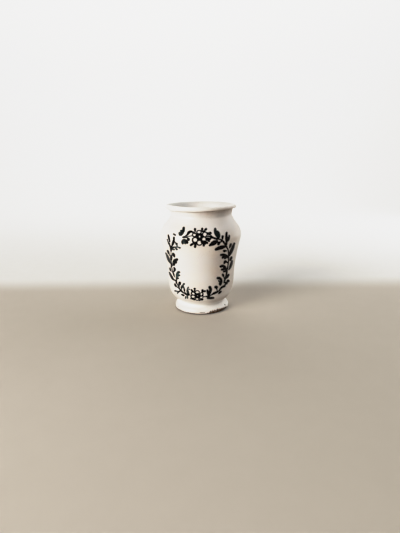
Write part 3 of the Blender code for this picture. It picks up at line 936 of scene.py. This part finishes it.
stroke([(208.4, 294.6), (207.8, 292.4), (207.4, 290.4)], [2.0, 2.2, 1.7])
stroke([(207.8, 297.8), (210.6, 297.9), (213.4, 297.7)], [1.9, 2.2, 1.6], thin=0.05)
stroke([(208.2, 296.8), (210.0, 295.6), (212.2, 294.4)], [0.8, 0.7, 0.7], thin=0.3)

# ---------------------------------------------------------------- left side
stroke([(173.8, 234.4), (175.3, 235.3)], [1.3, 1.4], thin=0.3)
stroke([(168.4, 235.3), (169.0, 237.6), (169.6, 239.8), (169.9, 241.6)], [0.9, 1.5, 1.3, 0.8])
blot(167.5, 239.4, 0.45, 0.45, thin=0.3)
stroke([(167.6, 239.8), (168.3, 241.6), (168.9, 243.0)], [0.6, 0.8, 0.9], thin=0.5)
blot(169.2, 243.4, 1.00, 0.70, 30)
stroke([(169.4, 243.8), (170.1, 245.4), (170.9, 247.2), (171.2, 248.8)], [1.2, 1.0, 1.5, 2.0])
stroke([(174.0, 237.7), (174.0, 239.8), (173.4, 242.0), (172.8, 243.8), (172.1, 245.6), (171.5, 247.2)], [1.6, 1.6, 2.1, 2.1, 1.0, 0.8])
stroke([(174.5, 241.4), (175.7, 242.5)], [0.7, 0.8], thin=0.3)
blot(176.6, 243.6, 1.00, 0.95, teal=0.3)
stroke([(177.0, 244.4), (177.3, 246.4), (178.6, 247.1)], [0.8, 1.0, 1.0], teal=0.9, thin=0.3)
blot(179.6, 247.5, 1.05, 0.65, 15, teal=0.5)
stroke([(171.6, 247.6), (173.2, 247.2), (174.8, 246.9)], [1.3, 1.5, 1.0], teal=0.2)
stroke([(174.8, 246.9), (176.4, 246.8), (178.2, 246.9)], [0.9, 1.0, 0.9], teal=0.9, thin=0.35)
stroke([(172.7, 249.0), (174.3, 249.3)], [1.1, 1.2], teal=0.5, thin=0.2)
stroke([(176.0, 248.2), (177.0, 249.2)], [1.2, 1.4], teal=0.5)
stroke([(171.2, 248.8), (171.2, 250.6)], [1.7, 1.2])
stroke([(171.2, 250.6), (171.1, 253.0), (171.1, 255.8)], [0.4, 0.2, 0.5], thin=0.7)
stroke([(167.7, 250.5), (168.3, 251.7), (168.9, 253.2)], [1.5, 1.8, 1.2])
stroke([(168.9, 253.2), (169.6, 254.6), (170.4, 255.9)], [0.7, 0.4, 0.5], thin=0.3)
stroke([(165.8, 252.9), (166.6, 254.6), (167.6, 257.0), (168.6, 259.6), (169.6, 261.5), (170.8, 263.3)], [1.4, 2.0, 2.2, 2.1, 1.5, 0.7])
stroke([(171.5, 255.8), (171.3, 257.6), (171.2, 259.4)], [1.4, 2.2, 1.7])
stroke([(171.2, 259.4), (171.3, 261.4), (171.5, 263.6)], [0.9, 0.7, 0.8], thin=0.35)
stroke([(171.6, 263.6), (171.6, 266.6)], [1.3, 1.2])
stroke([(173.1, 253.3), (173.8, 254.6), (174.4, 256.3)], [1.6, 2.6, 1.4])
stroke([(171.3, 255.6), (172.6, 254.4)], [0.5, 0.6], thin=0.45)
stroke([(174.0, 264.5), (174.1, 262.0), (174.9, 260.3), (176.9, 259.4)], [2.0, 2.7, 2.8, 2.4])
blot(176.0, 262.0, 1.10, 1.20, thin=0.06)
stroke([(171.8, 265.6), (173.4, 264.8)], [0.7, 0.8])
stroke([(169.9, 268.1), (170.3, 269.3), (170.7, 270.5)], [1.1, 1.9, 1.0])
stroke([(174.2, 267.6), (174.8, 269.3), (174.3, 271.2)], [1.2, 2.2, 1.0])
stroke([(171.7, 266.8), (172.3, 269.0), (173.0, 271.6)], [0.5, 0.4, 0.7], thin=0.55)
stroke([(170.9, 270.6), (172.6, 271.6)], [0.2, 0.2], thin=0.5)
stroke([(173.0, 271.6), (173.6, 273.8), (174.2, 275.6)], [1.1, 1.2, 0.9])
stroke([(174.2, 275.6), (174.7, 277.0)], [0.6, 0.4], thin=0.6)
stroke([(169.5, 272.5), (170.6, 275.0), (171.8, 277.2), (173.1, 279.1), (174.4, 280.0)], [1.2, 1.7, 1.9, 1.7, 0.9])
stroke([(174.4, 280.0), (175.8, 280.6), (176.4, 281.6), (176.5, 282.8)], [0.9, 1.1, 1.4, 1.2])
stroke([(176.5, 279.4), (176.5, 276.8), (176.7, 274.2), (177.2, 272.8)], [0.8, 0.9, 1.1, 1.1], teal=0.75)
blot(178.7, 272.1, 1.50, 1.05, teal=0.35)
blot(178.8, 275.3, 1.25, 0.85, teal=0.65)
stroke([(176.7, 278.7), (178.3, 278.2)], [1.5, 1.2], teal=0.15)
stroke([(177.5, 274.8), (177.9, 273.2)], [1.6, 1.6], teal=1.0, thin=0.15)
stroke([(177.3, 277.2), (178.0, 276.2)], [1.0, 0.9], teal=1.0, thin=0.4)
stroke([(176.5, 279.4), (176.6, 281.0)], [0.9, 0.8], teal=0.3)
stroke([(174.9, 284.1), (175.4, 285.2), (176.2, 286.3)], [1.3, 1.8, 1.2])
stroke([(176.2, 286.4), (177.8, 287.4), (179.2, 288.4)], [0.5, 0.5, 0.6], thin=0.4)
stroke([(179.8, 282.8), (179.7, 283.9)], [2.4, 2.5])
stroke([(179.0, 284.8), (178.9, 286.6), (179.4, 288.2)], [1.4, 1.2, 0.7], thin=0.12)
stroke([(176.6, 282.6), (177.6, 284.6), (178.4, 286.4)], [0.9, 0.6, 0.7], thin=0.35)
blot(183.9, 283.9, 0.95, 0.85, teal=0.5, thin=0.15)
stroke([(183.6, 284.6), (182.2, 286.0)], [1.3, 1.6], teal=0.6, thin=0.2)
blot(181.7, 287.0, 0.95, 1.15, teal=0.1)
stroke([(182.4, 285.8), (183.4, 287.0), (183.9, 288.0)], [1.5, 1.5, 1.1], teal=0.5, thin=0.12)
stroke([(181.7, 288.2), (181.4, 289.6)], [0.7, 0.7], teal=0.3, thin=0.2)
stroke([(179.4, 288.4), (180.6, 290.0), (181.6, 291.0), (183.0, 292.2), (184.4, 293.0), (185.8, 293.8)], [1.0, 1.0, 1.5, 1.0, 0.9, 1.3])
stroke([(184.3, 289.1), (184.5, 290.4)], [1.3, 1.4])
stroke([(184.7, 291.2), (185.2, 292.6)], [0.6, 0.6], thin=0.2)
blot(175.3, 290.7, 0.95, 0.60, teal=0.5, thin=0.3)
stroke([(175.9, 290.9), (177.6, 291.3)], [0.9, 1.1], teal=0.6, thin=0.3)
stroke([(178.1, 291.8), (179.4, 291.2), (180.4, 290.7)], [1.4, 1.4, 0.8])
stroke([(178.0, 292.2), (177.5, 293.2)], [0.9, 0.7], teal=0.85, thin=0.35)
stroke([(181.9, 294.3), (182.9, 294.8), (183.8, 295.3)], [1.1, 1.6, 1.2])
stroke([(188.3, 287.3), (187.6, 288.8), (187.5, 290.8)], [1.1, 1.4, 1.7], teal=0.65, thin=0.25)
stroke([(187.5, 290.8), (188.0, 292.4), (188.5, 293.8)], [1.9, 2.1, 1.7], teal=0.25, thin=0.06)
blot(189.4, 289.3, 0.55, 0.50, teal=0.6, thin=0.3)
stroke([(185.8, 293.8), (187.2, 294.3), (189.0, 294.6)], [1.6, 1.3, 1.6])
stroke([(185.6, 296.4), (185.5, 297.7)], [0.8, 1.0], teal=0.4, thin=0.2)
stroke([(187.3, 295.2), (187.4, 297.6)], [1.1, 1.2], teal=0.6, thin=0.15)

# ---------------------------------------------------------------- bottom flower
blot(197.4, 295.6, 3.4, 3.0)
petals([(197.3, 292.1, 1.50, 0.95, 0), (193.3, 293.5, 1.40, 0.85, 25), (201.4, 294.0, 0.80, 1.20, 15),
        (193.1, 296.5, 1.60, 1.00, 4), (201.3, 297.2, 1.30, 0.80, -18), (197.2, 298.8, 1.25, 0.80, 0)], 0.75)
blot(197.0, 295.6, 2.3, 1.70)
blot(197.5, 295.6, 0.40, 0.28, ink=False)
blot(191.4, 293.0, 0.55, 0.95)
stroke([(190.9, 294.9), (191.6, 295.2)], [0.8, 0.8], thin=0.1)
stroke([(191.0, 296.0), (191.2, 297.2)], [0.9, 0.8], teal=0.2)
stroke([(190.4, 298.4), (191.5, 298.4), (192.6, 298.8)], [0.4, 0.8, 1.0], teal=0.15)
blot(194.2, 299.1, 1.05, 0.75)
blot(199.4, 299.8, 0.80, 0.65)
stroke([(200.8, 299.4), (202.6, 299.3)], [1.2, 1.2])
stroke([(194.8, 292.0), (194.7, 290.4)], [1.5, 1.2])
blot(194.7, 288.8, 1.00, 0.90)
stroke([(191.4, 289.8), (192.2, 290.8), (192.9, 291.5)], [1.3, 1.8, 1.3])
stroke([(202.4, 292.0), (202.5, 290.2)], [1.6, 1.9])
stroke([(203.6, 291.2), (204.9, 291.1)], [1.2, 1.8])
stroke([(203.0, 293.2), (203.0, 294.8), (202.9, 296.0)], [0.6, 0.6, 0.4])
stroke([(203.2, 296.6), (205.6, 296.4), (207.8, 296.3)], [0.3, 0.6, 1.3])


def winding(pts, poly):
    """Winding number of each point about a closed outline."""
    x, y = pts[:, 0][:, None], pts[:, 1][:, None]
    a, b = poly[None, :, :], np.roll(poly, -1, 0)[None, :, :]
    left = (b[..., 0] - a[..., 0]) * (y - a[..., 1]) - (x - a[..., 0]) * (b[..., 1] - a[..., 1])
    up = (a[..., 1] <= y) & (b[..., 1] > y) & (left > 0)
    down = (a[..., 1] > y) & (b[..., 1] <= y) & (left < 0)
    return up.sum(1) - down.sum(1)


def paint(pts):
    """What the marks, one over the other, leave at each point: ink or none, and the ink's tints."""
    ink = np.zeros(len(pts), bool)
    teal, thin = np.zeros(len(pts)), np.zeros(len(pts))
    for m in MARKS:
        lo, hi = m.o.min(0), m.o.max(0)
        near = np.nonzero(((pts >= lo) & (pts <= hi)).all(1))[0]
        if not len(near):
            continue
        got = near[winding(pts[near], m.o) != 0]
        teal[got] = np.where(ink[got] & m.ink, np.minimum(teal[got], m.teal), m.teal)
        thin[got] = np.where(ink[got] & m.ink, np.minimum(thin[got], m.thin), m.thin)
        ink[got] = m.ink
    return ink, teal, thin


def build_wreath():
    verts, edges = [], []
    for m in MARKS:
        n0, n = len(verts), len(m.o)
        verts += m.o.tolist()
        edges += [(n0 + i, n0 + (i + 1) % n) for i in range(n)]
    lo, hi = np.min(verts, 0), np.max(verts, 0)
    gx, gy = np.meshgrid(np.arange(lo[0], hi[0], 1.0), np.arange(lo[1], hi[1], 0.87))
    gx[1::2] += 0.5
    grid = np.stack([gx.ravel(), gy.ravel()], 1)
    grid = grid[paint(grid)[0]]
    verts += grid.tolist()
    out_v, _, tris, _, _, _ = geometry.delaunay_2d_cdt([Vector(v) for v in verts], edges, [], 0, 1e-3, False)
    pv = np.array([tuple(v) for v in out_v])
    tris = np.array([t for t in tris if len(t) == 3])
    a, b, c = pv[tris[:, 0]], pv[tris[:, 1]], pv[tris[:, 2]]
    area2 = (b[:, 0] - a[:, 0]) * (c[:, 1] - a[:, 1]) - (b[:, 1] - a[:, 1]) * (c[:, 0] - a[:, 0])
    ink, teal, thin = paint((a + b + c) / 3)
    keep = ink & (np.abs(area2) > 1e-5)
    tris = np.where((area2 > 0)[:, None], tris, tris[:, ::-1])[keep]
    teal, thin = teal[keep], thin[keep]
    # islands of ink
    parent = np.arange(len(pv))

    def root(i):
        while parent[i] != i:
            parent[i] = parent[parent[i]]
            i = parent[i]
        return i
    for t in tris:
        r0 = root(t[0])
        parent[root(t[1])] = r0
        parent[root(t[2])] = r0
    isle = np.array([root(t[0]) for t in tris])
    mid = (pv[tris[:, 0]] + pv[tris[:, 1]] + pv[tris[:, 2]]) / 3
    centre = (lo + hi) / 2
    made = []
    where = {}
    for k in np.unique(isle):
        m = mid[isle == k].mean(0) - centre
        deg = math.degrees(math.atan2(m[1] / (hi[1] - lo[1]), m[0] / (hi[0] - lo[0])))
        where[k] = ("wreath_right" if -48 <= deg < 42 else "wreath_top" if 42 <= deg < 128
                    else "wreath_bottom" if -122 <= deg < -48 else "wreath_left")
    names = np.array([where[k] for k in isle], dtype="U16")
    # the flowers run on into the right-hand sprig: they part from it at its thin stems
    seen = to_picture(surface(mid[:, 0] / CHART_R, -mid[:, 1], 0.0))
    largest = isle == np.bincount(isle).argmax()
    names[largest & (seen[:, 1] < 260) & (seen[:, 0] < 212.4)] = "wreath_top"
    names[largest & (seen[:, 1] > 284) & (seen[:, 0] < 214.2)] = "wreath_bottom"
    for name in ("wreath_top", "wreath_right", "wreath_bottom", "wreath_left"):
        sel = names == name
        tt, ids = np.unique(tris[sel], return_inverse=True)
        tri = ids.reshape(-1, 3)
        n = len(tt)
        phi, s = pv[tt, 0] / CHART_R, -pv[tt, 1]
        top, low = surface(phi, s, 0.05), surface(phi, s, -0.12)
        faces = [list(t) for t in tri] + [[t[2] + n, t[1] + n, t[0] + n] for t in tri]
        count = {}
        for t in tri:
            for i, j in ((t[0], t[1]), (t[1], t[2]), (t[2], t[0])):
                count[(i, j)] = True
        for (i, j) in count:
            if (j, i) not in count:
                faces.append([j, i, i + n, j + n])
        ob = mesh_object(name, np.vstack([top, low]), faces, MAT_INK, 50.0)
        hits = np.zeros(n)
        for attr, val in (("teal", teal[sel]), ("thin", thin[sel])):
            acc, hits = np.zeros(n), np.zeros(n)
            np.add.at(acc, tri.ravel(), np.repeat(val, 3))
            np.add.at(hits, tri.ravel(), 1)
            acc /= np.maximum(hits, 1)
            point_attribute(ob, attr, np.concatenate([acc, acc]))
        made.append(ob)
    return made


for film in build_wreath():
    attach(film, "root")

# =====================================================================================
# Stage and light
# =====================================================================================
def stage_material(name, near, far, rough):
    """Plain paper, cream on the floor and whiter where it sweeps up behind."""
    m = Nodes(name)
    v = m.coords(1.0)
    sep = m.new("ShaderNodeSeparateXYZ")
    m.t.links.new(v, sep.inputs[0])
    col = m.mix(m.remap(sep.outputs["Y"], 0.048, 0.110), near, far)
    col = m.mix(m.remap(m.noise(v, 60.0, 3.0), 0.3, 0.7, 0.0, 0.02), col, (0.30, 0.28, 0.25))
    m.t.links.new(col, m.bsdf.inputs["Base Color"])
    m.bsdf.inputs["Roughness"].default_value = rough
    return m.mat


def build_stage():
    """A pale floor that sweeps up into a plain backdrop."""
    prof = [(-1.6, 0.0), (0.75, 0.0)]
    prof += [(0.75 + 0.5 * math.sin(a), 0.5 - 0.5 * math.cos(a)) for a in np.linspace(0, math.pi / 2, 17)[1:]]
    prof += [(1.25, 2.6)]
    verts, faces = [], []
    for y, z in prof:
        verts += [(-2.6, y, z), (2.6, y, z)]
    for i in range(len(prof) - 1):
        faces.append((2 * i, 2 * i + 1, 2 * i + 3, 2 * i + 2))
    me = bpy.data.meshes.new("studio_floor")
    me.from_pydata(verts, [], faces)
    me.shade_smooth()
    me.materials.append(stage_material("studio_paper", (0.60, 0.56, 0.505), (0.86, 0.855, 0.835), 0.9))
    ob = bpy.data.objects.new("studio_floor", me)
    bpy.context.scene.collection.objects.link(ob)


build_stage()


def area(name, at, aim, size, power, colour):
    d = bpy.data.lights.new(name, "AREA")
    d.shape = "RECTANGLE"
    d.size, d.size_y = size
    d.energy = power
    d.color = colour
    o = bpy.data.objects.new(name, d)
    o.location = at
    o.rotation_euler = (Vector(aim) - Vector(at)).to_track_quat("-Z", "Y").to_euler()
    o.visible_camera = False
    bpy.context.scene.collection.objects.link(o)
    return o


area("key_left", (-0.756, -0.705, 0.436), (0.0, 0.0, 0.06), (0.6, 0.42), 10.80, (1.0, 0.965, 0.918))
area("key_low", (-0.911, -0.614, 0.108), (0.0, 0.0, 0.03), (0.5, 0.12), 1.20, (1.0, 0.968, 0.93))
area("right_bounce", (0.737, 0.344, 0.309), (0.0, 0.0, 0.06), (0.6, 0.70), 2.85, (0.985, 0.98, 0.97))
area("right_high", (0.629, 0.055, 0.629), (0.0, 0.0, 0.06), (0.6, 0.35), 0.35, (1.0, 0.985, 0.96))
area("front_high", (0.406, -0.483, 0.961), (0.0, 0.0, 0.06), (0.6, 0.6), 1.85, (1.0, 0.955, 0.895))
area("backdrop_wash", (0.0, 0.55, 1.10), (0.0, 1.25, 0.75), (2.4, 0.4), 20.0, (1.0, 0.99, 0.97))

world = bpy.data.worlds.new("studio")
world.use_nodes = True
bg = world.node_tree.nodes["Background"]
bg.inputs["Color"].default_value = (1.0, 0.945, 0.88, 1.0)
bg.inputs["Strength"].default_value = 0.0
bpy.context.scene.world = world

# a camera's tone curve: a little contrast in the middle greys, then a soft shoulder
view = bpy.context.scene.view_settings
view.view_transform = "Standard"
view.look = "None"
view.use_curve_mapping = True
WHITE = 2.0
view.curve_mapping.white_level = (WHITE, WHITE, WHITE)
view.curve_mapping.black_level = (0.0026, 0.0027, 0.0026)
tone = view.curve_mapping.curves[3]
for x, y in ((0.1, 0.077), (0.2, 0.158), (0.32, 0.278), (0.45, 0.447), (0.6, 0.640), (0.75, 0.785), (0.9, 0.842), (1.2, 0.874)):
    tone.points.new(x / WHITE, y)
tone.points[-1].location = (1.0, 0.90)
view.curve_mapping.update()
